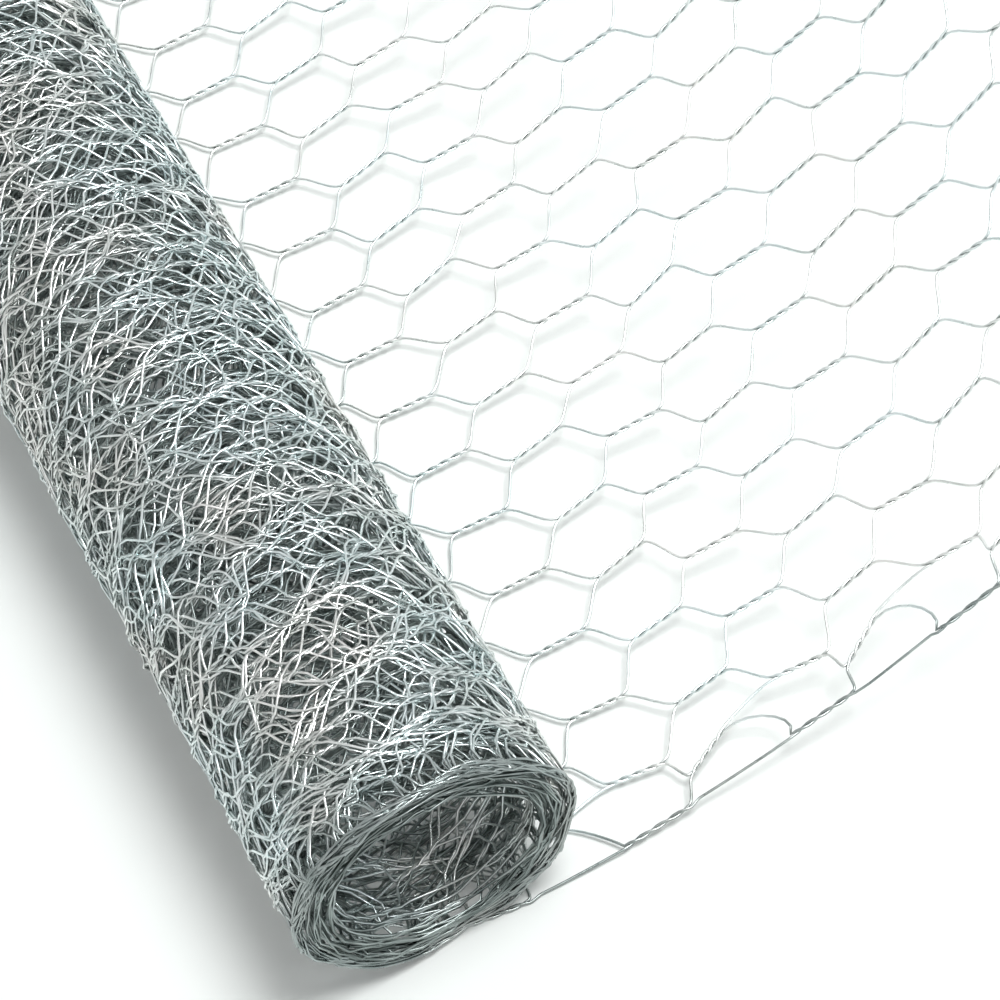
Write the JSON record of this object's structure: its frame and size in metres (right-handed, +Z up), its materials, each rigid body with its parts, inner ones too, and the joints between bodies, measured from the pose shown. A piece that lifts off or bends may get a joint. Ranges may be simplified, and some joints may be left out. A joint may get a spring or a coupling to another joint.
{
  "type": "roll of hexagonal wire netting",
  "caption": "Roll of galvanised hexagonal wire netting lying on its side, open through its bore, with its free end unrolled along the floor.",
  "frame": {"origin": "on the axis of the roll's bore, at the middle of the roll's length", "axes": "+Y along the bore, +Z up, +X the way the free end runs out from under the roll"},
  "size_m": [0.3476, 0.6, 0.0941],
  "materials": {
    "galvanised_wire": "galvanised, satin"
  },
  "bodies": {
    "root": {"wound_roll": "galvanised_wire", "free_end_1": "galvanised_wire", "free_end_2": "galvanised_wire", "free_end_3": "galvanised_wire", "free_end_4": "galvanised_wire", "free_end_5": "galvanised_wire", "free_end_6": "galvanised_wire"}
  },
  "joints": []
}
